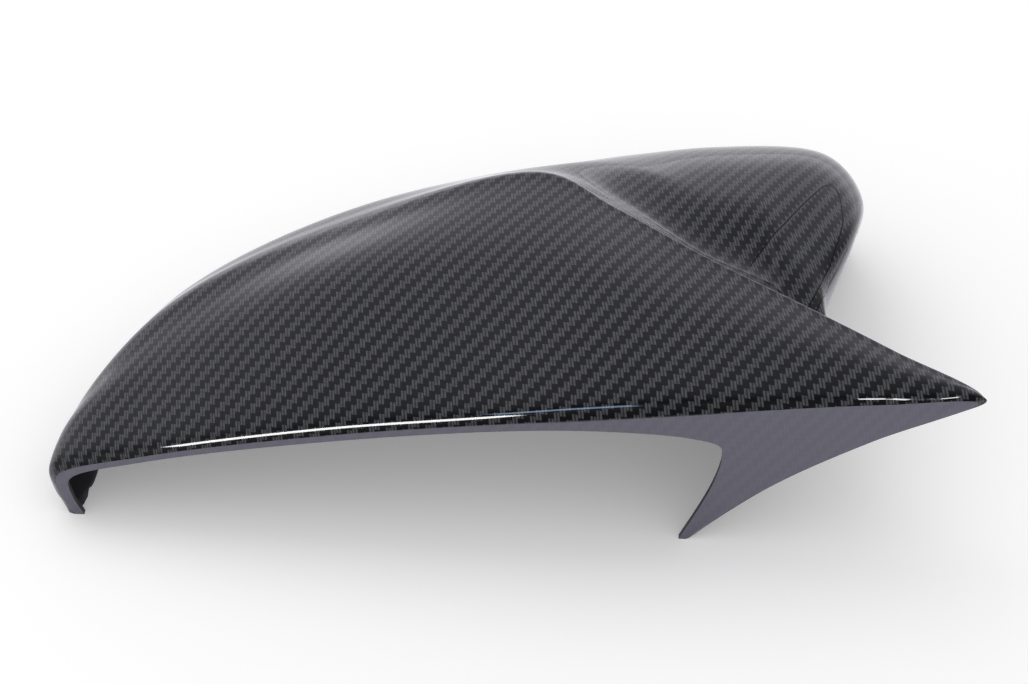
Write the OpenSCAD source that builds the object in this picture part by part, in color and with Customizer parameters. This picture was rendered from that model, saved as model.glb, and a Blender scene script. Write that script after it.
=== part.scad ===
// Wing mirror cover: one moulded shell that closes the front, top and outer end
// of a mirror housing. Its top runs out into a pointed blade on the outboard
// side, over a rounded end lobe. X runs outboard, Y forward, Z up.

/* [Cover] */
// Length from the inboard corner to the blade's tip
cover_length = 265; // [240:1:290]
// Depth from the rear face to the front lower edge
cover_depth = 149; // [130:1:165]
// Height of the blade's tip over the lower edge
cover_height = 60; // [52:1:68]
// Thickness of the moulded wall
wall = 2.5; // [1.8:0.1:3]

/* [Edges] */
// Size of the rounding from the rear lip to the top
rim_round = 2.7; // [1.5:0.1:3.5]
// Radius of the crease along the blade's leading edge
crease_radius = 1.8; // [1:0.1:3]

/* [Inside] */
// Width of a snap clip
clip_width = 12; // [8:1:16]
// Length by which a clip hangs under the top
clip_length = 16; // [10:1:20]
// Thickness of a clip's tab
clip_thickness = 2; // [1.5:0.1:2.5]
// Reach of the nose at a clip's end
clip_nose = 2; // [1:0.1:2.5]
// Height of a rib over the inner skin
rib_height = 4; // [2:0.5:5]
// Thickness of a rib, and of the web behind a clip
rib_thickness = 1.6; // [1.2:0.1:2]

/* [Smoothness] */
// Sections from one key section to the next
section_steps = 5; // [3:1:6]

/* [Hidden] */

// Guide curves. Each has one point in every key section, from the hook at the
// inboard end, past the blade's tip, to the leg at the outboard end. They are
// drawn at this length, depth and height, and stretched to the cover's own.
drawn_size = [265, 149, 60];
fit = [cover_length / drawn_size.x, cover_depth / drawn_size.y, cover_height / drawn_size.z];

// Edge of the glass opening, in the rear face
opening_guide = [
    [9, 0, 0], [6.2, 0, 7.5], [6, 0, 14.4], [27, 0, 22.3], [80, 0, 33.6], [132, 0, 40.8],
    [160, 0, 42.2], [184, 0, 40.8], [192.4, 0, 38], [193, 0, 34], [192.6, 0, 30], [190.6, 0, 22],
    [187.2, 0, 12.6], [182, 0, 0]
];
// Outer edge of the rear face
rim_guide = [
    [3.9, 0, 0], [0.7, 0, 7], [0, 0, 16.8], [27, 0, 26.4], [80, 0, 38], [132, 0, 45.8],
    [160, 0, 49.4], [187, 0, 52.8], [213, 0, 55.6], [240, 0, 58.2], [265, 0, 60],
    [236.9, 0, 43.5], [209.9, 0, 24.4], [185.4, 0, 0]
];
// Middle of the top
crown_guide = [
    [4.9, 2, 0], [0.3, 8, 10], [2.5, 14, 20.5], [29, 32, 32.6], [81, 55, 49], [133, 58, 56],
    [160, 46, 59], [187, 30, 59.5], [213, 20, 60.6], [240, 10, 61], [264.6, 0.8, 59.6],
    [235, 5, 41.9], [208.7, 6, 22.5], [186, 2.6, 0]
];
// Blade's leading edge, which fades out over the front
crease_guide = [
    [6, 3.6, 0], [1.5, 17, 11], [6, 27.7, 20.2], [30, 57.3, 33], [82, 86.2, 43.3],
    [134, 98.3, 54.6], [160, 84.2, 53], [187, 56.2, 59.3], [213, 37.7, 59.9], [240, 18.6, 60.1],
    [264.2, 1.6, 59], [231.5, 11, 39.8], [208, 10, 20.4], [186.6, 4.2, 0]
];
// Hollow under the blade
valley_guide = [
    [6.4, 5.2, 0], [4, 24, 9.5], [9.5, 38, 17.5], [31, 68.5, 27.4], [83, 100.5, 36.5],
    [134.5, 109.9, 42.4], [161, 94.2, 50.4], [186, 69, 48.5], [207, 58, 44], [214, 47, 43],
    [229, 31, 42], [226, 20, 36], [207.2, 15, 18], [187.1, 5.8, 0]
];
// Top of the end lobe
lobe_guide = [
    [6.8, 6.8, 0], [6, 28, 7], [12, 44, 12], [31.8, 77, 20.9], [84.2, 111, 27.3],
    [135.2, 125, 33.6], [162.1, 113, 47.3], [187, 95, 51.4], [204, 90, 52.6], [211.3, 75, 50.8],
    [220.9, 57, 45.9], [219, 43, 27], [206, 25, 14], [187.6, 7.2, 0]
];
// Turn of the front and of the outer end
shoulder_guide = [
    [7.1, 8.2, 0], [8, 31, 4], [14, 48, 7], [32, 84, 13], [85, 121.1, 16.1], [135.5, 134, 20],
    [163.4, 134.6, 30.5], [189.7, 131.6, 38.7], [222.5, 128.3, 40.6], [233.1, 105.4, 43.6],
    [224.9, 79.3, 38.7], [216.5, 62, 14], [204.5, 36, 7], [188, 8.2, 0]
];
// Lower edge
hem_guide = [
    [7.5, 10, 0], [9.5, 33, 0], [15, 50, 0], [33, 88, 0], [86, 125, 0], [136, 140, 0],
    [165, 147, 0], [193, 149, 0], [222, 144, 0], [233, 130, 0], [226, 105, 0], [216, 78, 0],
    [204, 45, 0], [188.4, 9.8, 0]
];
// Crease's radius at each key section, over its own at the blade
crease_spread = [1, 3, 5, 5, 5, 5, 1.5, 1, 1, 1, 1, 1, 1, 1];
// How far the rim's rounding cuts its corner: 0.25 rounds it fully, 0.5 cuts it flat
rim_hold = 0.42;
// Share by which the hollow draws back to the blade's root, at each key section
blade_fill = [0, 0, 0, 0, 0, 0, 0, 0, 0.05, 0.3, 0.66, 0.3, 0.05, 0];
blade_root = [220, 16, 46];
// Share by which it draws back under the edge between the hollow and the outer end
edge_fill = [0, 0, 0, 0, 0, 0, 0, 0, 0, 0.02, 0.1, 0.02, 0, 0];
edge_root = [187, 66, 21];
// Shares from which a drawn back skin needs no other wall
blade_full = 0.3;
edge_full = 0.1;

// Where the clips hang: place along the cover, then place over it, counted in guides
clip_places = [[3.35, 7], [4.2, 7], [5, 7], [6.3, 7], [7.3, 7]];
// Where the ribs cross: place along the cover, then the guides between which they run
rib_places = [[3.6, 3.2, 8.6], [4.6, 3.2, 8.6], [5.6, 3.2, 8.6]];
rib_steps = 16;
// Share of a rib over which each of its ends rises
rib_rise = 0.35;
// How far the web reaches over the cover, in guides, and up a clip
clip_web_rows = 0.7;
clip_web_end = 0.3;
// Height of a nose over its reach
nose_slope = 2;
point_size = 0.02;
small_step = 0.02;

// Steps from one guide curve to the next
guide_steps = [1, 2, 5, 4, 1, 1, 4, 4, 4, 4];
last_key = len(rim_guide) - 1;
lip_blend = wall / 3;
// Thickness of the lip at the glass opening, over the wall's
lip_taper = 0.7;
places = [for (i = [0 : last_key * section_steps]) i / section_steps];

function unit(v) = v / max(norm(v), 0.0001);
function stretched(p) = [p.x * fit.x, p.y * fit.y, p.z * fit.z];
function towards(a, b, far) = a + (b - a) * min(far / max(norm(b - a), 0.0001), 0.45);

// Smooth curve through a list of points, at place t counted in points
function along(curve, t) =
    let (
        i = min(floor(t), len(curve) - 2),
        u = t - i,
        b = curve[i],
        c = curve[i + 1],
        a = i > 0 ? curve[i - 1] : 2 * b - c,
        d = i + 2 < len(curve) ? curve[i + 2] : 2 * c - b,
        before = sqrt(max(norm(b - a), 0.000001)),
        here = sqrt(max(norm(c - b), 0.000001)),
        after = sqrt(max(norm(d - c), 0.000001)),
        leave = ((b - a) / before * here + (c - b) / here * before) / (before + here) * here,
        arrive = ((c - b) / here * after + (d - c) / after * here) / (here + after) * here
    )
    (2 * u * u * u - 3 * u * u + 1) * b + (u * u * u - 2 * u * u + u) * leave
    + (3 * u * u - 2 * u * u * u) * c + (u * u * u - u * u) * arrive;

// Number at place t between the numbers of two key sections
function share(list, t) =
    let (i = min(floor(t), len(list) - 2))
    list[i] + (list[i + 1] - list[i]) * (t - i);

// Outer skin in one section, from the rear lip to the lower edge
function skin_guides(t) =
    let (
        opening = stretched(along(opening_guide, t)),
        rim = stretched(along(rim_guide, t)),
        crown = stretched(along(crown_guide, t)),
        crease = stretched(along(crease_guide, t)),
        valley = stretched(along(valley_guide, t)),
        lip = towards(rim, opening, rim_round),
        top = towards(rim, crown, rim_round),
        radius = crease_radius * share(crease_spread, t)
    )
    [
        lip, (lip + top) * rim_hold + rim * (1 - 2 * rim_hold), top, crown,
        towards(crease, crown, radius), crease, towards(crease, valley, radius), valley,
        stretched(along(lobe_guide, t)), stretched(along(shoulder_guide, t)), stretched(along(hem_guide, t))
    ];

function through(guides) = [
    for (i = [0 : len(guides) - 2], k = [0 : guide_steps[i] - 1]) along(guides, i + k / guide_steps[i]),
    guides[len(guides) - 1]
];

// A value of the blade's guides and one of the edge's, for each guide in turn
function by_guide(blade, edge) = [for (i = [0 : 10]) i < 7 ? blade : i < 9 ? edge : i == 9 ? edge / 2 : 0];

// The same section with a softer crease, and the blade drawn back to where its
// hollow ends
function core_guides(t) =
    let (
        guides = skin_guides(t),
        radius = crease_radius * share(crease_spread, t) + 2 * wall,
        near = towards(guides[5], guides[3], radius),
        far = towards(guides[5], guides[7], radius),
        soft = concat(
            [for (i = [0 : 3]) guides[i]],
            [near, (near + far + guides[5] * 2) / 4, far],
            [for (i = [7 : len(guides) - 1]) guides[i]]
        ),
        blade = share(blade_fill, t),
        edge = by_guide(0, share(edge_fill, t))
    )
    [
        for (i = [0 : len(soft) - 1])
            i < 7 ? soft[i] + (stretched(blade_root) - soft[i]) * blade
            : soft[i] + (stretched(edge_root) - soft[i]) * edge[i]
    ];

outer = [for (t = places) through(skin_guides(t))];
core = [for (t = places) through(core_guides(t))];
rows = len(outer[0]);
first_inner_row = guide_steps[0] + guide_steps[1];
// Place of each row, counted in guides
row_places = [
    for (i = [0 : len(guide_steps) - 1], k = [0 : guide_steps[i] - 1]) i + k / guide_steps[i],
    len(guide_steps)
];

// Outward direction of the core at section i, row j. The rounding of the rim and
// the lower edge take that of the rows beside them, which turn less
function outward(i, j) =
    let (
        row = min(max(j, first_inner_row + 1), rows - 3),
        along_cover = core[min(i + 1, len(core) - 1)][row] - core[max(i - 1, 0)][row],
        over_cover = core[i][row + 1] - core[i][row - 1]
    )
    unit(cross(along_cover, over_cover));

// Keeps a depth behind the lip, and rising with the depth asked for
function behind_lip(y) = (y + wall + sqrt((y - wall) * (y - wall) + lip_blend * lip_blend)) / 2;

// Inner skin point: a wall's thickness in, behind the lip and level with the lower edge
function inner(i, j) =
    let (
        blade = min(share(blade_fill, places[i]) / blade_full, 1),
        edge = min(share(edge_fill, places[i]) / edge_full, 1),
        p = core[i][j] - outward(i, j) * wall * (1 - share(by_guide(blade, edge), row_places[j])),
        on_base = j == rows - 1 || i == 0 || i == len(places) - 1
    )
    [p.x, behind_lip(p.y), on_base ? 0 : max(p.z, 0)];

function closed_section(i) =
    let (opening = stretched(along(opening_guide, places[i])))
    concat(
        [opening],
        outer[i],
        [for (j = [rows - 1 : -1 : first_inner_row]) inner(i, j)],
        [opening + [0, wall * lip_taper, 0]]
    );

// Skin over closed sections that all have the same number of points
module loft(sections) {
    count = len(sections[0]);
    last = len(sections) - 1;
    polyhedron(
        points = [for (section = sections) each section],
        faces = concat(
            [[for (j = [count - 1 : -1 : 0]) j]],
            [
                for (i = [0 : last - 1], j = [0 : count - 1], half = [0, 1])
                    let (a = i * count + j, b = i * count + (j + 1) % count)
                    half == 0 ? [a, b, b + count] : [a, b + count, a + count]
            ],
            [[for (j = [0 : count - 1]) last * count + j]]
        )
    );
}

// Middle of the wall at place t along the cover and place r over it, and the
// directions there: along the cover, over it, and into the hollow
function core_point(t, r) = along(core_guides(t), r);
function run_direction(t, r) = unit(core_point(t + small_step, r) - core_point(t - small_step, r));
function over_direction(t, r) = unit(core_point(t, r + small_step) - core_point(t, r - small_step));
function inward(t, r) = unit(cross(over_direction(t, r), run_direction(t, r)));
function wall_middle(t, r) = core_point(t, r) + inward(t, r) * wall / 2;

// Solid between upright corner posts
module posts(places, thickness) {
    hull()
        for (p = places)
            translate(p)
                cube([thickness, thickness, point_size], center = true);
}

// Snap clip: a tab that hangs from the top, a web behind it and a nose at its end
module clip(t, r) {
    root = wall_middle(t, r);
    run = run_direction(t, r) * (clip_width - clip_thickness) / 2;
    level = [run.x, run.y, 0];
    foot = root - [0, 0, clip_length];
    web_root = wall_middle(t, r - clip_web_rows);
    nose_side = unit([-run.y, run.x, 0]) * clip_nose;
    posts([root - run, root + run, foot - level, foot + level], clip_thickness);
    posts([root, web_root, foot + [0, 0, clip_length * clip_web_end]], rib_thickness);
    hull() {
        posts([foot - level, foot + level], clip_thickness);
        posts([for (side = [-1, 1]) foot + side * level + [0, 0, nose_slope * clip_nose]], clip_thickness);
        posts([for (side = [-1, 1]) foot + side * level + nose_side + [0, 0, clip_nose]], clip_thickness);
    }
}

// Rib across the inside, from one place over the cover to another
module rib(t, from, to) {
    loft([
        for (k = [0 : rib_steps])
            let (
                r = from + (to - from) * k / rib_steps,
                middle = wall_middle(t, r),
                side = run_direction(t, r) * rib_thickness / 2,
                full = min(min(k, rib_steps - k) / (rib_steps * rib_rise), 1),
                tip = middle + inward(t, r) * (wall / 2 + rib_height * full * (2 - full))
            )
            [middle + side, middle - side, tip - side, tip + side]
    ]);
}

// Middle of the base, where the origin goes
all_x = [for (section = outer, p = section) p.x];
all_y = [for (section = outer, p = section) p.y];
base_middle = [(min(all_x) + max(all_x)) / 2, (min(all_y) + max(all_y)) / 2, 0];

module shell() {
    loft([for (i = [0 : len(places) - 1]) closed_section(i)]);
}

module mirror_cover() {
    color("#303236")
        translate(-base_middle)
            union() {
                shell();
                for (place = clip_places) clip(place[0], place[1]);
                for (place = rib_places) rib(place[0], place[1], place[2]);
            }
}

mirror_cover();
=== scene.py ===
import math

import bpy
import numpy as np
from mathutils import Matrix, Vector


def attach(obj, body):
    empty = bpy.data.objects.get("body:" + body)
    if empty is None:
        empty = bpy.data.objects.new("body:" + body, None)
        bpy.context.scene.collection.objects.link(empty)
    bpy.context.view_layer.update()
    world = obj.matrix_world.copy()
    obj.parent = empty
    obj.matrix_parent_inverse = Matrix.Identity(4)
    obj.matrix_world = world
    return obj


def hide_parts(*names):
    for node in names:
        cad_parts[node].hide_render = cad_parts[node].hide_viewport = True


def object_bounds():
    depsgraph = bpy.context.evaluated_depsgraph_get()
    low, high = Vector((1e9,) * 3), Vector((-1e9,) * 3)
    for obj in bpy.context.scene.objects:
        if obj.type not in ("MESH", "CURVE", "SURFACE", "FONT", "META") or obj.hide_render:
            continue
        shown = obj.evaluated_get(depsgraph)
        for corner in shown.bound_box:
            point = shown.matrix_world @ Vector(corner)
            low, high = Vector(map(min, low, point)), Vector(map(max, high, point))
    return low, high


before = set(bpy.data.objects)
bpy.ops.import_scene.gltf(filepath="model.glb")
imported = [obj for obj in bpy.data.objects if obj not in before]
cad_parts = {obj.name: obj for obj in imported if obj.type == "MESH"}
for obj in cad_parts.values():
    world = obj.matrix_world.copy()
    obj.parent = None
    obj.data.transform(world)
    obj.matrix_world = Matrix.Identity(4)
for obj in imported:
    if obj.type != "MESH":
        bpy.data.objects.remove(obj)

cadLow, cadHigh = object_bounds()
millimetre = 0.001

# Guide curves of the cover in millimetres, from its inboard rear corner: one point in each key
# section, from the hook past the blade's tip to the leg.
cover = {
    "wall": 2.5,
    "lipTaper": 0.7,
    "rimRound": 2.7,
    "rimHold": 0.42,
    "creaseRadius": 1.8,
    "creaseSpread": [1, 3, 5, 5, 4.5, 2, 1, 0.9, 1, 1, 1, 1, 1, 1],
    "opening": [
        (9, 0, 0), (6.2, 0, 7.5), (6, 0, 14.4), (27, 0, 22.3), (80, 0, 33.6), (132, 0, 40.8),
        (160, 0, 42.2), (184, 0, 40.8), (192.4, 0, 38), (193, 0, 34), (192.6, 0, 30), (190.6, 0, 22),
        (187.2, 0, 12.6), (182, 0, 0),
    ],
    "rim": [
        (3.9, 0, 0), (0.7, 0, 7), (0, 0, 16.8), (27, 0, 26.4), (80, 0, 38), (132, 0, 45.8), (160, 0, 49.4),
        (187, 0, 52.8), (213, 0, 55.6), (240, 0, 58.2), (265, 0, 60), (236.9, 0, 43.5), (209.9, 0, 24.4),
        (185.4, 0, 0),
    ],
    "crown": [
        (4.9, 2, 0), (0.3, 8, 10), (2.5, 14, 20.5), (29, 32, 32.6), (81, 55, 49), (133, 58, 56),
        (160, 46, 59), (187, 30, 59.5), (213, 20, 60.6), (240, 10, 61), (264.6, 0.8, 59.6), (235, 5, 41.9),
        (208.7, 6, 22.5), (186, 2.6, 0),
    ],
    "crease": [
        (6, 3.6, 0), (1.5, 17, 11), (6, 27.7, 20.2), (30, 57.3, 33), (82, 86.2, 43.3), (136.5, 98.2, 54),
        (160, 79.3, 57), (187, 56.2, 59.3), (213, 37.7, 59.9), (240, 18.6, 60.1), (264.2, 1.6, 59),
        (231.5, 11, 39.8), (208, 10, 20.4), (186.6, 4.2, 0),
    ],
    "valley": [
        (6.4, 5.2, 0), (4, 24, 9.5), (9.5, 38, 17.5), (31, 68.5, 27.4), (83, 100.5, 36.5),
        (137, 111.5, 42.8), (161, 88.5, 52), (186, 69, 49.5), (207, 58, 47.5), (214, 47, 46),
        (229, 31, 42), (226, 20, 36), (207.2, 15, 18), (187.1, 5.8, 0),
    ],
    "lobe": [
        (6.8, 6.8, 0), (6, 28, 7), (12, 44, 12), (31.8, 77, 20.9), (84.2, 111, 27.3), (135.2, 125, 33.6),
        (162.1, 112.5, 46.6), (187, 95, 51.4), (204, 90, 52.6), (211.3, 75, 50.8), (221.8, 58.6, 45.5),
        (219, 43, 27), (206, 25, 14), (187.6, 7.2, 0),
    ],
    "shoulder": [
        (7.1, 8.2, 0), (8, 31, 4), (14, 48, 7), (32, 84, 13), (85, 121.1, 16.1), (135.5, 134, 20),
        (163.4, 134.6, 30.5), (189.7, 131.6, 38.7), (222.5, 128.3, 40.6), (233.1, 105.4, 43.6),
        (231, 83, 43), (216.5, 62, 14), (204.5, 36, 7), (188, 8.2, 0),
    ],
    "hem": [
        (7.5, 10, 0), (9.5, 33, 0), (15, 50, 0), (33, 88, 0), (86, 125, 0), (136, 140, 0), (165, 147, 0),
        (193, 149, 0), (222, 144, 0), (233, 130, 0), (226, 105, 0), (216, 78, 0), (204, 45, 0),
        (188.4, 9.8, 0),
    ],
    # how far the hollow draws back from the blade, and from the edge of the outer end
    "bladeFill": [0, 0, 0, 0, 0, 0, 0, 0, 0.05, 0.3, 0.66, 0.3, 0.05, 0],
    "bladeRoot": (220, 16, 46),
    "bladeFull": 0.3,
    "edgeFill": [0, 0, 0, 0, 0, 0, 0, 0, 0, 0.02, 0.1, 0.02, 0, 0],
    "edgeRoot": (187, 66, 21),
    "edgeFull": 0.1,
    # the wall starts this many rows past the rim's rounding, and eases off the lip over this much of it
    "settleRows": 3,
    "lipEase": 1 / 3,
    # how finely it is drawn here: sections between keys, rows between guides, and rows over the lip
    "sectionSteps": 14,
    "rowSteps": (3, 3, 16, 12, 3, 3, 10, 12, 12, 10),
    "lipRows": 5,
    "sharpAngle": 38,
}
rimEndGuide = 2
creaseGuide = 5
lastBladeGuide = 6
lobeGuide = 8
shoulderGuide = 9
hemGuide = 10


def rowsBefore(guide):
    return cover["lipRows"] + sum(cover["rowSteps"][:guide])


def sectionPlaces():
    keys = len(cover["rim"]) - 1
    return np.linspace(0, keys, keys * cover["sectionSteps"] + 1)


def unit(vector):
    return vector / max(np.linalg.norm(vector), 1e-4)


def towards(start, end, far):
    # never quite half way, so that two roundings on one edge don't meet
    return start + (end - start) * min(far / max(np.linalg.norm(end - start), 1e-4), 0.45)


def along(curve, place):
    # a smooth curve through its points, with the first at place 0
    index = min(int(place), len(curve) - 2)
    u = place - index
    b, c = curve[index], curve[index + 1]
    a = curve[index - 1] if index > 0 else 2 * b - c
    d = curve[index + 2] if index + 2 < len(curve) else 2 * c - b
    before, here, after = (math.sqrt(max(np.linalg.norm(q - p), 1e-6)) for p, q in ((a, b), (b, c), (c, d)))
    leave = ((b - a) / before * here + (c - b) / here * before) / (before + here) * here
    arrive = ((c - b) / here * after + (d - c) / after * here) / (here + after) * here
    return (
        (2 * u**3 - 3 * u**2 + 1) * b + (u**3 - 2 * u**2 + u) * leave
        + (3 * u**2 - 2 * u**3) * c + (u**3 - u**2) * arrive
    )


def share(values, place):
    index = min(int(place), len(values) - 2)
    return values[index] + (values[index + 1] - values[index]) * (place - index)


def skinGuides(guides, place):
    opening, rim, crown, crease, valley, lobe, shoulder, hem = (
        along(guides[name], place)
        for name in ("opening", "rim", "crown", "crease", "valley", "lobe", "shoulder", "hem")
    )
    lip = towards(rim, opening, cover["rimRound"])
    top = towards(rim, crown, cover["rimRound"])
    hold = cover["rimHold"]
    radius = cover["creaseRadius"] * share(cover["creaseSpread"], place)
    return [
        lip, (lip + top) * hold + rim * (1 - 2 * hold), top, crown,
        towards(crease, crown, radius), crease, towards(crease, valley, radius), valley, lobe, shoulder, hem,
    ]


def byGuide(blade, edge):
    # the blade's share up to its hollow, the edge's over the lobe, half of that on the shoulder
    return ([blade] * (lastBladeGuide + 1) + [edge] * (shoulderGuide - lastBladeGuide - 1)
            + [edge / 2] + [0] * (hemGuide - shoulderGuide))


def coreGuides(guides, place):
    soft = skinGuides(guides, place)
    radius = cover["creaseRadius"] * share(cover["creaseSpread"], place) + 2 * cover["wall"]
    crease = soft[creaseGuide]
    near = towards(crease, soft[creaseGuide - 2], radius)
    far = towards(crease, soft[creaseGuide + 2], radius)
    soft[creaseGuide - 1:creaseGuide + 2] = [near, (near + far + crease * 2) / 4, far]
    blade = share(cover["bladeFill"], place)
    edge = byGuide(0, share(cover["edgeFill"], place))
    bladeRoot, edgeRoot = np.array(cover["bladeRoot"]), np.array(cover["edgeRoot"])
    return [
        p + (bladeRoot - p) * blade if i <= lastBladeGuide else p + (edgeRoot - p) * edge[i]
        for i, p in enumerate(soft)
    ]


def throughGuides(guides):
    rows = [along(guides, i + k / n) for i, n in enumerate(cover["rowSteps"]) for k in range(n)]
    return rows + [guides[-1]]


def gridNormals(grid):
    lengthwise = np.gradient(grid, axis=0)
    crosswise = np.gradient(grid, axis=1)
    normals = np.cross(lengthwise, crosswise)
    return normals / np.maximum(np.linalg.norm(normals, axis=2, keepdims=True), 1e-9)


def coverSections():
    # one closed section at each place: over the lip, the outer skin, the inner skin, and back
    guides = coverGuides()
    places = sectionPlaces()
    steps, wall = cover["rowSteps"], cover["wall"]
    outer = np.array([throughGuides(skinGuides(guides, t)) for t in places])
    core = np.array([throughGuides(coreGuides(guides, t)) for t in places])
    rowPlaces = [i + k / n for i, n in enumerate(steps) for k in range(n)] + [len(steps)]
    blade = np.array([min(share(cover["bladeFill"], t) / cover["bladeFull"], 1) for t in places])
    edge = np.array([min(share(cover["edgeFill"], t) / cover["edgeFull"], 1) for t in places])
    filled = np.array([[share(byGuide(b, e), row) for row in rowPlaces] for b, e in zip(blade, edge)])
    away = gridNormals(core)
    rimRows = sum(steps[:rimEndGuide])
    settled = rimRows + cover["settleRows"]
    away[:, :settled] = away[:, settled:settled + 1]  # the rim's rounding turns too fast for a wall
    away[:, -2:] = away[:, -3:-2]  # and the lower edge runs on in line with the end sections
    inner = core - away * wall * (1 - filled[..., None])
    ease = np.sqrt((inner[..., 1] - wall)**2 + (wall * cover["lipEase"])**2)
    inner[..., 1] = (inner[..., 1] + wall + ease) / 2
    inner[..., 2] = np.maximum(inner[..., 2], 0)
    inner[:, -1, 2] = 0
    inner[0, :, 2] = 0
    inner[-1, :, 2] = 0
    opening = np.array([along(guides["opening"], t) for t in places])[:, None, :]
    lipFace = [opening + (outer[:, :1] - opening) * k / cover["lipRows"] for k in range(cover["lipRows"])]
    back = opening + np.array((0, wall * cover["lipTaper"], 0))
    return np.concatenate(lipFace + [outer, inner[:, :rimRows - 1:-1], back], axis=1)


# The printed film as seen from above, in millimetres: how its two directions run over the top, as
# factors of x, y and their products up to the third power.
film = {
    "centre": (130, 40),
    "reach": (100, 50),
    "powers": ((1, 0), (0, 1), (2, 0), (1, 1), (0, 2), (3, 0), (2, 1), (1, 2), (0, 3)),
    "across": (96.4, 7.7, -3.43, 3.22, 0.68, 1.72, 2.02, 2.55, -1.49),
    "lengthwise": (15.76, 53.08, -1.05, -1.68, 0.17, 0.19, -1.54, -1.87, 1.84),
    "limits": ((-1.35, 1.35), (-0.9, 2.2)),
    # an overhang starts at this height of the skin's direction, and the print rolls round it only past
    # this section, under the blade
    "overhang": 0.3,
    "rollLimit": 0.15,
    "tipPlace": 10.1,
}


def filmStep(factors, place, direction):
    centre, reach, limits = film["centre"], film["reach"], film["limits"]
    x, y = (np.clip((place[..., k] - centre[k]) / reach[k], *limits[k]) for k in (0, 1))
    terms = [(f, a, b) for f, (a, b) in zip(factors, film["powers"])]
    slopeX = sum(f * a * x**max(a - 1, 0) * y**b for f, a, b in terms) / reach[0]
    slopeY = sum(f * b * y**max(b - 1, 0) * x**a for f, a, b in terms) / reach[1]
    return slopeX * direction[..., 0] + slopeY * direction[..., 1]


def layFilm(skin):
    # Walked along the rim first, then over the skin both ways. Beyond the lobe a step down a slope
    # counts as a step outwards, so that the print rolls over the edge and isn't stretched there.
    rimRow, lobeRow, shoulderRow = rowsBefore(rimEndGuide), rowsBefore(lobeGuide), rowsBefore(shoulderGuide)
    normals = gridNormals(skin)
    normals *= np.sign(normals[len(skin) // 2, rimRow, 2])
    outward = normals[..., :2] / np.maximum(1 + normals[..., 2:], film["rollLimit"])
    rolls = np.clip((np.arange(skin.shape[1]) - lobeRow) / (shoulderRow - lobeRow), 0, 1)
    rolls[:rimRow + 1] = 1
    pastTip = np.clip(sectionPlaces() - film["tipPlace"], 0, 1)[:, None, None]
    overhang = np.clip(1 - normals[..., 2:] / film["overhang"], 0, 1)
    outward *= np.maximum(rolls[:, None], overhang * pastTip)

    def rolled(step, lean):
        return step[..., :2] - lean * step[..., 2:]

    laid = np.zeros(skin.shape[:2] + (2,))
    rimSteps = rolled(np.diff(skin[:, rimRow], axis=0), outward[:-1, rimRow])
    overSteps = rolled(np.diff(skin, axis=1), outward[:, :-1])
    for side, factors in enumerate((film["across"], film["lengthwise"])):
        laid[1:, rimRow, side] = np.cumsum(filmStep(factors, skin[:-1, rimRow], rimSteps))
        walked = np.zeros(skin.shape[:2])
        walked[:, 1:] = np.cumsum(filmStep(factors, skin[:, :-1], overSteps), axis=1)
        laid[..., side] = laid[:, rimRow:rimRow + 1, side] + walked - walked[:, rimRow:rimRow + 1]
    return laid


# Fine dark lines painted on the outer end, as seen from above in the guides' millimetres: the painted shade
# of the groove round a field, which has no depth here, and a painted dark reflection along the shoulder
# beside it. Both are drawn on the top only, up to the blade.
paintedDarkLines = {
    "field": [
        (200.4, 66.8), (204, 72.5), (208.7, 79), (213.7, 87.8), (218.8, 96.3), (222.5, 102.4),
        (224.3, 103.8), (226.1, 101.5), (227.6, 90.5), (227.2, 83.5), (223.4, 68.5), (217.6, 52), (213, 44),
    ],
    "shoulder": [
        (233.7, 100), (232.4, 89.5), (230.1, 81.2), (226.2, 70), (223.7, 63.5), (221.1, 54.5), (217, 44),
    ],
    "steps": 6,
    "width": 0.34,
    "darkest": 0.102,
    "lastPlace": 10.2,
    "rowsPastShoulder": 3,
}


def laidOn(top, curve):
    # the curve's points at the height of the skin there
    steps = paintedDarkLines["steps"]
    line = []
    for i in range((len(curve) - 1) * steps + 1):
        x, y = along(np.array(curve, float), i / steps)
        near = ((top[:, 0] - x)**2 + (top[:, 1] - y)**2 + 0.01)**-2
        line.append((x, y, np.sum(near * top[:, 2]) / np.sum(near)))
    return np.array(line)


def distanceTo(line, points):
    # less than nothing on one side of the line
    nearest = np.full(len(points), 99.0)
    for start, end in zip(line, line[1:]):
        edge, off = end - start, points - start
        part = np.clip((off @ edge) / (edge @ edge), 0, 1)
        gap = np.linalg.norm(off - part[:, None] * edge, axis=1)
        side = edge[0] * off[:, 1] - edge[1] * off[:, 0]
        nearest = np.where(gap < np.abs(nearest), np.copysign(gap, side), nearest)
    return nearest


def coverGuides():
    return {name: np.array(points, float) for name, points in cover.items()
            if isinstance(points, list) and isinstance(points[0], tuple)}


def inRow(points, low, high):
    # from the guides' millimetres to the part's own place, and exactly to its box
    start, end = np.array(cadLow), np.array(cadHigh)
    return start + (np.asarray(points) - low) / (high - low) * (end - start)


def coverFaces(stations, count):
    faces, slots = [], []
    for i in range(stations - 1):
        for j in range(count):
            k = (j + 1) % count
            a, b = i * count + j, i * count + k
            faces.append((a, a + count, b + count, b))
            slots.append(1 if j < cover["lipRows"] else 0 if j < rowsBefore(hemGuide) else 2)
    for start, step in ((0, 1), ((stations - 1) * count, -1)):
        faces.append(tuple(range(start, start + count))[::step])
        slots.append(2)
    return faces, slots


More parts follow.
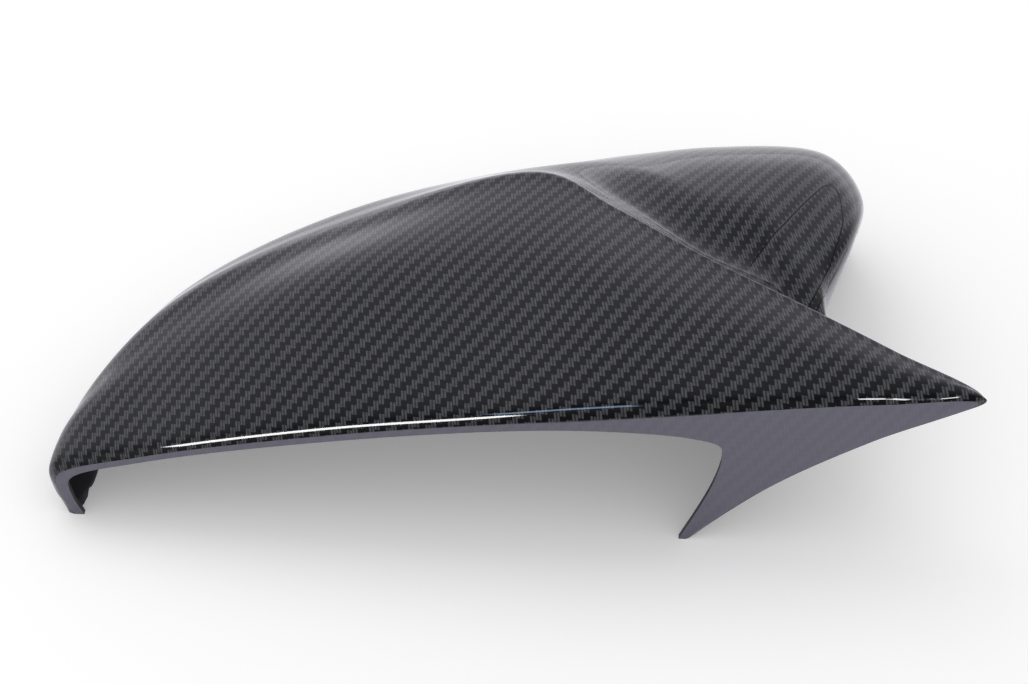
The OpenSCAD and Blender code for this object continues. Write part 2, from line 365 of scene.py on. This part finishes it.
def layPrint(mesh, sections, slots):
    # the lip has its print straight from behind, and the skin has the film's
    skin = sections[:, :rowsBefore(hemGuide) + 1]
    laid = np.zeros(sections.shape[:2] + (2,))
    laid[:, :skin.shape[1]] = layFilm(skin)
    corners = np.empty(len(mesh.loops), dtype=np.int32)
    mesh.loops.foreach_get("vertex_index", corners)
    onLip = np.repeat(np.array(slots) == 1, [len(face.vertices) for face in mesh.polygons])[:, None]
    flat = sections.reshape(-1, 3)[:, (0, 2)]
    placed = np.where(onLip, flat[corners], laid.reshape(-1, 2)[corners])
    mesh.uv_layers.new(name="film").data.foreach_set("uv", placed.ravel() * millimetre)


def markPaintedDarkLines(mesh, sections):
    rows = np.arange(sections.shape[1])
    lastRow = rowsBefore(shoulderGuide) + paintedDarkLines["rowsPastShoulder"]
    onTop = (rows > rowsBefore(creaseGuide)) & (rows < lastRow)
    onTop = onTop & (sectionPlaces()[:, None] < paintedDarkLines["lastPlace"])
    # each painted line's distance goes into an attribute, for the painted groove shade and the painted dark
    # reflection
    for name in ("field", "shoulder"):
        line = laidOn(sections[onTop], paintedDarkLines[name])
        far = distanceTo(line, sections.reshape(-1, 3)).reshape(onTop.shape)
        far = np.where(onTop, far, np.copysign(99, far))
        mesh.attributes.new(name, "FLOAT", "POINT").data.foreach_set("value", far.ravel())


def buildCover():
    sections = coverSections()
    points = sections.reshape(-1, 3)
    low, high = points.min(0), points.max(0)
    faces, slots = coverFaces(*sections.shape[:2])
    mesh = bpy.data.meshes.new("mirrorCoverSkin")
    mesh.from_pydata(inRow(points, low, high).tolist(), [], faces)
    mesh.polygons.foreach_set("material_index", slots)
    layPrint(mesh, sections, slots)
    markPaintedDarkLines(mesh, sections)
    mesh.shade_smooth()
    mesh.set_sharp_from_angle(angle=math.radians(cover["sharpAngle"]))
    piece = bpy.data.objects.new("mirrorCoverShell", mesh)
    bpy.context.collection.objects.link(piece)
    return piece, low, high


class NodeSheet:
    def __init__(self, tree):
        self.tree = tree

    def add(self, kind, **settings):
        node = self.tree.nodes.new(kind)
        for name, value in settings.items():
            setattr(node, name, value)
        return node

    def put(self, socket, value):
        if isinstance(value, bpy.types.NodeSocket):
            self.tree.links.new(value, socket)
        else:
            socket.default_value = value

    def math(self, operation, *values, clamp=False):
        node = self.add("ShaderNodeMath", operation=operation, use_clamp=clamp)
        for socket, value in zip(node.inputs, values):
            self.put(socket, value)
        return node.outputs[0]

    def ramp(self, value, low, high):
        node = self.add("ShaderNodeMapRange", interpolation_type="SMOOTHSTEP")
        for name, given in (("Value", value), ("From Min", low), ("From Max", high)):
            self.put(node.inputs[name], given)
        return node.outputs["Result"]

    def mix(self, factor, first, second):
        node = self.add("ShaderNodeMix", data_type="RGBA")
        self.put(node.inputs["Factor"], factor)
        self.put(node.inputs[6], first)
        self.put(node.inputs[7], second)
        return node.outputs[2]


def newMaterial(name):
    material = bpy.data.materials.new(name)
    material.use_nodes = True
    sheet = NodeSheet(material.node_tree)
    shader = material.node_tree.nodes["Principled BSDF"]
    return material, sheet, shader


# What is moulded inside, in millimetres: clips at (section, guide) places, and ribs over the top.
inside = {
    "clipPlaces": [(3.35, 7), (4.2, 7), (5, 7), (6.3, 7), (7.3, 7)],
    "clipWidth": 12,
    "clipLength": 16,
    "clipThickness": 2,
    "clipNose": 2,
    "webRows": 0.7,
    "webEnd": 0.3,
    "ribPlaces": [(3.6, 3.2, 8.6), (4.6, 3.2, 8.6), (5.6, 3.2, 8.6)],
    "ribHeight": 4,
    "ribThickness": 1.6,
    "ribSteps": 32,
    "ribRise": 0.35,
}


def wallPlace(guides, place, row):
    # the middle of the wall there, the way along it, and the way in
    def onSkin(place, row):
        return along(np.array(coreGuides(guides, place)), row)

    step = 0.02
    run = unit(onSkin(place + step, row) - onSkin(place - step, row))
    over = unit(onSkin(place, row + step) - onSkin(place, row - step))
    inward = unit(np.cross(over, run))
    return onSkin(place, row) + inward * cover["wall"] / 2, run, inward


class GeometrySheet(NodeSheet):
    def __init__(self, name, sizes):
        super().__init__(bpy.data.node_groups.new(name, "GeometryNodeTree"))
        sockets = self.tree.interface
        sockets.new_socket(name="Geometry", in_out="INPUT", socket_type="NodeSocketGeometry")
        for size in sizes:
            sockets.new_socket(name=size, in_out="INPUT", socket_type="NodeSocketFloat")
        sockets.new_socket(name="Material", in_out="INPUT", socket_type="NodeSocketMaterial")
        sockets.new_socket(name="Geometry", in_out="OUTPUT", socket_type="NodeSocketGeometry")
        self.given = self.add("NodeGroupInput").outputs

    def link(self, kind, inputs, output=0, **settings):
        node = self.add(kind, **settings)
        for name, value in inputs.items():
            self.put(node.inputs[name], value)
        return node.outputs[output]

    def xyz(self, x=0, y=0, z=0):
        return self.link("ShaderNodeCombineXYZ", {"X": x, "Y": y, "Z": z})

    def named(self, name, kind):
        node = self.add("GeometryNodeInputNamedAttribute", data_type=kind)
        node.inputs["Name"].default_value = name
        return next(socket for socket in node.outputs if socket.enabled and socket.name == "Attribute")

    def vectors(self, operation, first, second):
        node = self.add("ShaderNodeVectorMath", operation=operation)
        self.put(node.inputs[0], first)
        self.put(node.inputs["Scale"] if operation == "SCALE" else node.inputs[1], second)
        return node.outputs[0]

    def join(self, *parts):
        node = self.add("GeometryNodeJoinGeometry")
        for part in reversed(parts):
            self.tree.links.new(part, node.inputs[0])
        return node.outputs[0]

    def finish(self, geometry):
        real = self.link("GeometryNodeRealizeInstances", {"Geometry": geometry})
        coated = self.link("GeometryNodeSetMaterial", {"Geometry": real, "Material": self.given["Material"]})
        self.put(self.add("NodeGroupOutput").inputs["Geometry"], coated)
        return self.tree


def clipTree():
    sizes = ("Width", "Length", "Thickness", "Nose", "Web Thickness", "Web End")
    sheet = GeometrySheet("mouldedClips", sizes)
    width, length, thick, nose = (sheet.given[name] for name in ("Width", "Length", "Thickness", "Nose"))
    place = sheet.add("ShaderNodeSeparateXYZ")
    sheet.put(place.inputs[0], sheet.add("GeometryNodeInputPosition").outputs[0])
    x, y, z = place.outputs
    low = sheet.math("MULTIPLY", length, -1)
    halfWay = sheet.math("DIVIDE", low, 2)

    # the tab hangs from the wall, and its top follows the wall's slope
    tab = sheet.link("GeometryNodeMeshCube", {"Size": sheet.xyz(width, thick, length)})
    tab = sheet.link("GeometryNodeTransform", {"Geometry": tab, "Translation": sheet.xyz(z=halfWay)})
    # the nose is a wedge at its foot, sunk a little into the tab and drawn in to an edge at half its height
    both = sheet.math("ADD", thick, nose)
    noseHeight = sheet.math("ADD", low, nose)
    wedge = sheet.link("GeometryNodeMeshCube", {
        "Size": sheet.xyz(width, nose, sheet.math("MULTIPLY", nose, 2))})
    wedge = sheet.link("GeometryNodeTransform", {
        "Geometry": wedge, "Translation": sheet.xyz(y=sheet.math("MULTIPLY", both, 0.49), z=noseHeight)})
    outer = sheet.link("FunctionNodeCompare", {0: y, 1: sheet.math("DIVIDE", both, 2)},
                       data_type="FLOAT", operation="GREATER_THAN")
    wedge = sheet.link("GeometryNodeSetPosition", {
        "Geometry": wedge, "Selection": outer, "Position": sheet.xyz(x, y, noseHeight)})
    wedge = sheet.link("GeometryNodeMergeByDistance", {"Geometry": wedge, "Distance": 1e-6})
    # the web stands behind the tab, and its upper corner is drawn out along the wall
    webLow = sheet.math("MULTIPLY", low, sheet.math("SUBTRACT", 1, sheet.given["Web End"]))
    web = sheet.link("GeometryNodeMeshCube", {
        "Size": sheet.xyz(sheet.given["Web Thickness"], thick, sheet.math("MULTIPLY", webLow, -1))})
    web = sheet.link("GeometryNodeTransform", {
        "Geometry": web, "Translation": sheet.xyz(z=sheet.math("DIVIDE", webLow, 2))})
    behind = sheet.link("FunctionNodeCompare", {0: y, 1: 0.0}, data_type="FLOAT", operation="LESS_THAN")
    high = sheet.link("FunctionNodeCompare", {0: z, 1: sheet.math("DIVIDE", webLow, 2)}, data_type="FLOAT",
                      operation="GREATER_THAN")
    corner = sheet.link("FunctionNodeBooleanMath", {0: behind, 1: high})
    web = sheet.link("GeometryNodeStoreNamedAttribute", {"Geometry": web, "Name": "drawn", "Value": corner},
                     data_type="FLOAT", domain="POINT")

    top = sheet.link("FunctionNodeCompare", {0: z, 1: halfWay}, data_type="FLOAT", operation="GREATER_THAN")
    tab = sheet.link("GeometryNodeStoreNamedAttribute", {
        "Geometry": tab, "Name": "across", "Value": sheet.math("MULTIPLY", x, top)}, data_type="FLOAT",
        domain="POINT")
    one = sheet.join(tab, wedge, web)
    turned = sheet.link("FunctionNodeAxesToRotation", {
        "Primary Axis": sheet.named("level", "FLOAT_VECTOR"), "Secondary Axis": sheet.xyz(z=1.0)},
        primary_axis="X", secondary_axis="Z")
    clips = sheet.link("GeometryNodeInstanceOnPoints", {
        "Points": sheet.given["Geometry"], "Instance": one, "Rotation": turned})
    clips = sheet.link("GeometryNodeRealizeInstances", {"Geometry": clips})
    rise = sheet.math("MULTIPLY", sheet.named("across", "FLOAT"), sheet.named("slope", "FLOAT"))
    drawn = sheet.vectors("SCALE", sheet.named("toWeb", "FLOAT_VECTOR"), sheet.named("drawn", "FLOAT"))
    clips = sheet.link("GeometryNodeSetPosition", {
        "Geometry": clips, "Offset": sheet.vectors("ADD", drawn, sheet.xyz(z=rise))})
    return sheet.finish(clips)


def ribTree():
    sheet = GeometrySheet("mouldedRibs", ("Thickness",))
    grow = sheet.add("GeometryNodeExtrudeMesh", mode="EDGES")
    sheet.put(grow.inputs["Mesh"], sheet.given["Geometry"])
    sheet.put(grow.inputs["Offset"], sheet.xyz(z=1.0))
    grow.inputs["Offset Scale"].default_value = 0.0001
    strip = sheet.link("GeometryNodeSetPosition", {
        "Geometry": grow.outputs["Mesh"], "Selection": grow.outputs["Top"],
        "Offset": sheet.named("toTip", "FLOAT_VECTOR")})
    side = sheet.vectors("SCALE", sheet.named("side", "FLOAT_VECTOR"), sheet.given["Thickness"])
    back = sheet.vectors("SCALE", side, -0.5)
    strip = sheet.link("GeometryNodeSetPosition", {"Geometry": strip, "Offset": back})
    thicker = sheet.add("GeometryNodeExtrudeMesh", mode="FACES")
    sheet.put(thicker.inputs["Mesh"], strip)
    sheet.put(thicker.inputs["Offset"], side)
    thicker.inputs["Offset Scale"].default_value = 1
    thicker.inputs["Individual"].default_value = False
    turned = sheet.link("GeometryNodeFlipFaces", {"Mesh": strip})
    closed = sheet.join(thicker.outputs["Mesh"], turned)
    return sheet.finish(sheet.link("GeometryNodeMergeByDistance", {"Geometry": closed, "Distance": 1e-6}))


def clipPoints(guides, low, high):
    places, level, slope, toWeb = [], [], [], []
    for place, row in inside["clipPlaces"]:
        root, run = wallPlace(guides, place, row)[:2]
        webRoot = wallPlace(guides, place, row - inside["webRows"])[0]
        flat = unit(np.array((run[0], run[1], 0)))
        if np.cross(flat, webRoot - root)[2] > 0:  # the web is always behind the tab
            flat = -flat
        places.append(inRow(root, low, high))
        level.append(flat)
        slope.append(run[2] / math.hypot(run[0], run[1]) * np.sign(flat @ run))
        toWeb.append((webRoot - root) * millimetre)
    return np.array(places), level, slope, toWeb


def ribPoints(guides, low, high):
    places, edges, toTip, side = [], [], [], []
    steps, rise = inside["ribSteps"], inside["ribRise"]
    for place, first, last in inside["ribPlaces"]:
        for k in range(steps + 1):
            middle, run, inward = wallPlace(guides, place, first + (last - first) * k / steps)
            full = min(min(k, steps - k) / (steps * rise), 1)
            if k:
                edges.append((len(places) - 1, len(places)))
            places.append(inRow(middle, low, high))
            toTip.append(inward * (cover["wall"] / 2 + inside["ribHeight"] * full * (2 - full)) * millimetre)
            side.append(run)
    return np.array(places), edges, toTip, side


def grownPiece(name, points, edges, attributes, tree, sizes, material):
    mesh = bpy.data.meshes.new(name)
    mesh.from_pydata(points.tolist(), edges, [])
    for label, (kind, values) in attributes.items():
        field = "vector" if kind == "FLOAT_VECTOR" else "value"
        mesh.attributes.new(label, kind, "POINT").data.foreach_set(field, np.ravel(values))
    piece = bpy.data.objects.new(name, mesh)
    bpy.context.collection.objects.link(piece)
    modifier = piece.modifiers.new(name, "NODES")
    modifier.node_group = tree
    given = dict(sizes, Material=material)
    for item in tree.interface.items_tree:
        if item.in_out == "INPUT" and item.name in given:
            modifier[item.identifier] = given[item.name]
    graph = bpy.context.evaluated_depsgraph_get()
    grown = bpy.data.meshes.new_from_object(piece.evaluated_get(graph))
    piece.modifiers.clear()
    piece.data = grown
    return piece


# The twill print: columns of dashes, each shifted on the last one by a third of the period. A dash is
# two bright strokes, given as places between the column's middle (0) and its side (0.5).
weave = {
    "columnWidth": 0.0016,
    "period": 0.0065,
    "shift": 1 / 3,
    "dashShare": 0.5,
    "endSoftness": 0.03,
    "strokeFrom": (0.04, 0.24),
    "strokeTo": (0.5, 0.38),
    "gapLight": 0.25,
    "fleckScale": 900,
    "fleckRange": (0.35, 0.65),
    "fleckLight": (0.7, 0.4),
    "dark": (0.003, 0.003, 0.0035, 1),
    "light": (0.077, 0.081, 0.083, 1),
}


def weaveMask(sheet):
    uv = sheet.add("ShaderNodeUVMap", uv_map="film")
    split = sheet.add("ShaderNodeSeparateXYZ")
    sheet.put(split.inputs[0], uv.outputs[0])
    across = sheet.math("DIVIDE", split.outputs[0], weave["columnWidth"])
    column = sheet.math("FLOOR", across)
    inColumn = sheet.math("SUBTRACT", across, column)
    lengthwise = sheet.math("DIVIDE", split.outputs[1], weave["period"])
    shifted = sheet.math("SUBTRACT", lengthwise, sheet.math("MULTIPLY", column, weave["shift"]))
    inDash = sheet.math("FRACT", shifted)
    middleFar = sheet.math("ABSOLUTE", sheet.math("SUBTRACT", inDash, 0.5))
    half, soft = weave["dashShare"] / 2, weave["endSoftness"]
    ends = sheet.ramp(middleFar, half + soft, half - soft)
    side = sheet.math("ABSOLUTE", sheet.math("SUBTRACT", inColumn, 0.5))
    stroke = sheet.math("MULTIPLY_ADD", sheet.ramp(side, *weave["strokeFrom"]), 1 - weave["gapLight"],
                        weave["gapLight"])
    stroke = sheet.math("MULTIPLY", stroke, sheet.ramp(side, *weave["strokeTo"]))
    fleck = sheet.add("ShaderNodeTexNoise")  # none of the strokes is quite even
    sheet.put(fleck.inputs["Vector"], uv.outputs[0])
    fleck.inputs["Scale"].default_value = weave["fleckScale"]
    fleck.inputs["Detail"].default_value = 1
    least, more = weave["fleckLight"]
    uneven = sheet.math("MULTIPLY_ADD", sheet.ramp(fleck.outputs["Fac"], *weave["fleckRange"]), more, least)
    return sheet.math("MULTIPLY", sheet.math("MULTIPLY", ends, stroke), uneven, clamp=True)


clearCoat = {
    "roughness": 0.03,
    "ior": 1.5,
    "filmRoughness": 0.4,
    "filmShine": 0.05,
    # the near-black painted shade and painted dark reflection of the outer end's lines, and how much coat is
    # left on them
    "paintedDarkColour": (0.0005, 0.0005, 0.0006, 1),
    "paintedLineCoat": 0.5,
}


def glossCarbon():
    material, sheet, shader = newMaterial("glossCarbonLook")
    woven = sheet.mix(weaveMask(sheet), weave["dark"], weave["light"])
    # the lines on the outer end are painted shade and a painted dark reflection: near-black, and they shine
    # less
    fars = [sheet.math("ABSOLUTE", sheet.add("ShaderNodeAttribute", attribute_name=name).outputs["Fac"])
            for name in ("field", "shoulder")]
    line = sheet.ramp(sheet.math("MINIMUM", *fars), paintedDarkLines["width"], paintedDarkLines["darkest"])
    # painted groove shade and painted dark edge reflection go into the base colour here
    sheet.put(shader.inputs["Base Color"], sheet.mix(line, woven, clearCoat["paintedDarkColour"]))
    sheet.put(shader.inputs["Coat Weight"],
              sheet.math("SUBTRACT", 1, sheet.math("MULTIPLY", line, 1 - clearCoat["paintedLineCoat"])))
    shader.inputs["Roughness"].default_value = clearCoat["filmRoughness"]
    shader.inputs["Specular IOR Level"].default_value = clearCoat["filmShine"]
    shader.inputs["Coat Roughness"].default_value = clearCoat["roughness"]
    shader.inputs["Coat IOR"].default_value = clearCoat["ior"]
    return material


lip = {
    "colour": (0.117, 0.115, 0.143, 1),
    "weaveColour": (0.15, 0.15, 0.178, 1),
    "weaveShare": 0.5,
    "roughness": 0.45,
}


def satinLip():
    material, sheet, shader = newMaterial("satinLip")
    faint = sheet.math("MULTIPLY", weaveMask(sheet), lip["weaveShare"])
    sheet.put(shader.inputs["Base Color"], sheet.mix(faint, lip["colour"], lip["weaveColour"]))
    shader.inputs["Roughness"].default_value = lip["roughness"]
    return material


bare = {
    "dark": (0.012, 0.012, 0.013, 1),
    "light": (0.022, 0.022, 0.024, 1),
    "grainScale": 900,
    "grainDepth": 0.0002,
    "grainStrength": 0.15,
    "roughness": 0.5,
}


def bareInside():
    material, sheet, shader = newMaterial("bareInside")
    coords = sheet.add("ShaderNodeTexCoord")
    grain = sheet.add("ShaderNodeTexNoise")
    sheet.put(grain.inputs["Vector"], coords.outputs["Object"])
    grain.inputs["Scale"].default_value = bare["grainScale"]
    sheet.put(shader.inputs["Base Color"], sheet.mix(grain.outputs["Fac"], bare["dark"], bare["light"]))
    shader.inputs["Roughness"].default_value = bare["roughness"]
    bump = sheet.add("ShaderNodeBump")
    bump.inputs["Strength"].default_value = bare["grainStrength"]
    bump.inputs["Distance"].default_value = bare["grainDepth"]
    sheet.put(bump.inputs["Height"], grain.outputs["Fac"])
    sheet.put(shader.inputs["Normal"], bump.outputs["Normal"])
    return material


# the photo's frame, and where the camera stood
shot = {
    "width": 1028,
    "focalPixels": 3176,
    "sensor": 36,
    "azimuth": 3.25,
    "elevation": 43,
    "distance": 950,
    "target": (131, 59.2, 20),
}


def placeCamera(middle):
    elevation, azimuth = math.radians(shot["elevation"]), math.radians(shot["azimuth"])
    back = Vector((math.sin(azimuth) * math.cos(elevation), -math.cos(azimuth) * math.cos(elevation),
                   math.sin(elevation)))
    target = Vector(shot["target"]) - Vector(middle)
    lens = bpy.data.cameras.new("shotCamera")
    lens.sensor_width = shot["sensor"]
    lens.lens = shot["focalPixels"] / shot["width"] * shot["sensor"]
    camera = bpy.data.objects.new("shotCamera", lens)
    camera.location = (target + back * shot["distance"]) * millimetre
    camera.rotation_euler = (-back).to_track_quat("-Z", "Y").to_euler()
    bpy.context.collection.objects.link(camera)
    bpy.context.scene.camera = camera


studio = {
    "floorSize": 6,
    "floorColour": (0.9, 0.905, 0.85, 1),
    "floorGlow": 0.2,
    "floorMirrored": (0.8, 0.78, 1, 1),
    "sky": 0.85,
    "skyColour": (0.93, 0.92, 1.0, 1),
    # what is reflected: a dark room behind the camera that brightens ahead and upwards, glare low down
    # ahead, and a pale wall on the left
    "roomDark": 0.07,
    "brightens": 1.09,
    "brightUpwards": 0.3,
    "brightFrom": 0.13,
    "glare": 0.9,
    "glareHeight": 0.36,
    "leftWall": 0.4,
    "leftFrom": (-0.3, -0.8),
    "lamps": [
        # soft light from the left, kept out of reflections
        {"name": "keyLight", "at": (-0.9, 0.9, 1.5), "size": (1.5, 1.5), "energy": 8, "colour": (1, 1, 1),
         "glossy": False},
        # strips overhead that are only seen reflected, and draw the lines on the rear edge
        {"name": "rimStrip", "at": (-0.68, -1.22, 1.2), "size": (0.62, 0.34), "energy": 16,
         "colour": (1, 1, 1), "glossy": True},
        {"name": "blueStrip", "at": (-0.29, -0.6, 1.2), "size": (0.11, 0.3), "energy": 0.7,
         "colour": (0.5, 0.7, 1), "glossy": True},
        {"name": "tipStrip", "at": (0.052, -0.29, 0.6), "size": (0.022, 0.05), "energy": 0.07,
         "colour": (1, 1, 1), "glossy": True},
    ],
}


def lightStudio():
    scene = bpy.context.scene
    scene.view_settings.view_transform = "Standard"
    world = bpy.data.worlds.new("paleStudio")
    scene.world = world
    world.use_nodes = True
    sheet = NodeSheet(world.node_tree)
    background = world.node_tree.nodes["Background"]
    path = sheet.add("ShaderNodeLightPath")
    coords = sheet.add("ShaderNodeTexCoord")
    split = sheet.add("ShaderNodeSeparateXYZ")
    sheet.put(split.inputs[0], coords.outputs["Generated"])
    aside, forward, up = split.outputs
    ahead = sheet.math("ADD", forward, sheet.math("MULTIPLY", up, studio["brightUpwards"]))
    ahead = sheet.math("MULTIPLY_ADD", ahead, studio["brightens"], -studio["brightFrom"], clamp=True)
    ahead = sheet.math("MULTIPLY", sheet.math("MAXIMUM", ahead, studio["roomDark"]), studio["sky"])
    glare = sheet.math("MULTIPLY", sheet.ramp(up, studio["glareHeight"], 0), studio["glare"])
    fromLeft = sheet.math("MULTIPLY", sheet.ramp(aside, *studio["leftFrom"]), studio["leftWall"])
    bright = sheet.math("ADD", sheet.math("MULTIPLY_ADD", glare, ahead, ahead), fromLeft)
    mirrored = sheet.math("SUBTRACT", bright, studio["sky"])
    strength = sheet.math("MULTIPLY_ADD", path.outputs["Is Glossy Ray"], mirrored, studio["sky"])
    white = sheet.math("MAXIMUM", path.outputs["Is Camera Ray"], path.outputs["Is Transmission Ray"])
    sheet.put(background.inputs["Strength"], sheet.math("MAXIMUM", strength, white))
    sheet.put(background.inputs["Color"], sheet.mix(white, studio["skyColour"], (1, 1, 1, 1)))
    for given in studio["lamps"]:
        light = bpy.data.lights.new(given["name"], "AREA")
        light.shape = "RECTANGLE"
        light.size, light.size_y = given["size"]
        light.energy = given["energy"]
        light.color = given["colour"]
        lamp = bpy.data.objects.new(given["name"], light)
        lamp.location = given["at"]
        lamp.visible_glossy = given["glossy"]
        lamp.visible_diffuse = not given["glossy"]
        bpy.context.collection.objects.link(lamp)


def layFloor():
    half = studio["floorSize"] / 2
    corners = [(-half, -half, 0), (half, -half, 0), (half, half, 0), (-half, half, 0)]
    mesh = bpy.data.meshes.new("paleFloor")
    mesh.from_pydata(corners, [], [(0, 1, 2, 3)])
    floor = bpy.data.objects.new("paleFloor", mesh)
    bpy.context.collection.objects.link(floor)
    material, sheet, shader = newMaterial("paleFloor")
    shader.inputs["Base Color"].default_value = studio["floorColour"]
    shader.inputs["Roughness"].default_value = 1
    shader.inputs["Specular IOR Level"].default_value = 0
    # lifts the floor to white where it is seen or reflected, and leaves the shadow on it
    path = sheet.add("ShaderNodeLightPath")
    seen = sheet.math("MAXIMUM", path.outputs["Is Camera Ray"], path.outputs["Is Glossy Ray"])
    seen = sheet.math("MAXIMUM", seen, path.outputs["Is Transmission Ray"])
    sheet.put(shader.inputs["Emission Color"],
              sheet.mix(path.outputs["Is Glossy Ray"], (1, 1, 1, 1), studio["floorMirrored"]))
    sheet.put(shader.inputs["Emission Strength"], sheet.math("MULTIPLY", seen, studio["floorGlow"]))
    mesh.materials.append(material)


shell, low, high = buildCover()
innerPlastic = bareInside()
for material in (glossCarbon(), satinLip(), innerPlastic):
    shell.data.materials.append(material)
print("cover shell:", len(shell.data.polygons), "faces")

guides = coverGuides()
places, level, slope, toWeb = clipPoints(guides, low, high)
clips = grownPiece(
    "insideClips", places, [],
    {"level": ("FLOAT_VECTOR", level), "slope": ("FLOAT", slope), "toWeb": ("FLOAT_VECTOR", toWeb)},
    clipTree(),
    {"Width": inside["clipWidth"] * millimetre, "Length": inside["clipLength"] * millimetre,
     "Thickness": inside["clipThickness"] * millimetre, "Nose": inside["clipNose"] * millimetre,
     "Web Thickness": inside["ribThickness"] * millimetre, "Web End": inside["webEnd"]},
    innerPlastic)
places, edges, toTip, side = ribPoints(guides, low, high)
ribs = grownPiece(
    "insideRibs", places, edges, {"toTip": ("FLOAT_VECTOR", toTip), "side": ("FLOAT_VECTOR", side)},
    ribTree(), {"Thickness": inside["ribThickness"] * millimetre}, innerPlastic)
print("clips and ribs:", len(clips.data.polygons), "and", len(ribs.data.polygons), "faces")

for piece in (shell, clips, ribs):
    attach(piece, "root")
    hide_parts("mirror_cover")

placeCamera((low + high) / 2 * (1, 1, 0))
lightStudio()
layFloor()
print("camera, lights and floor are set")
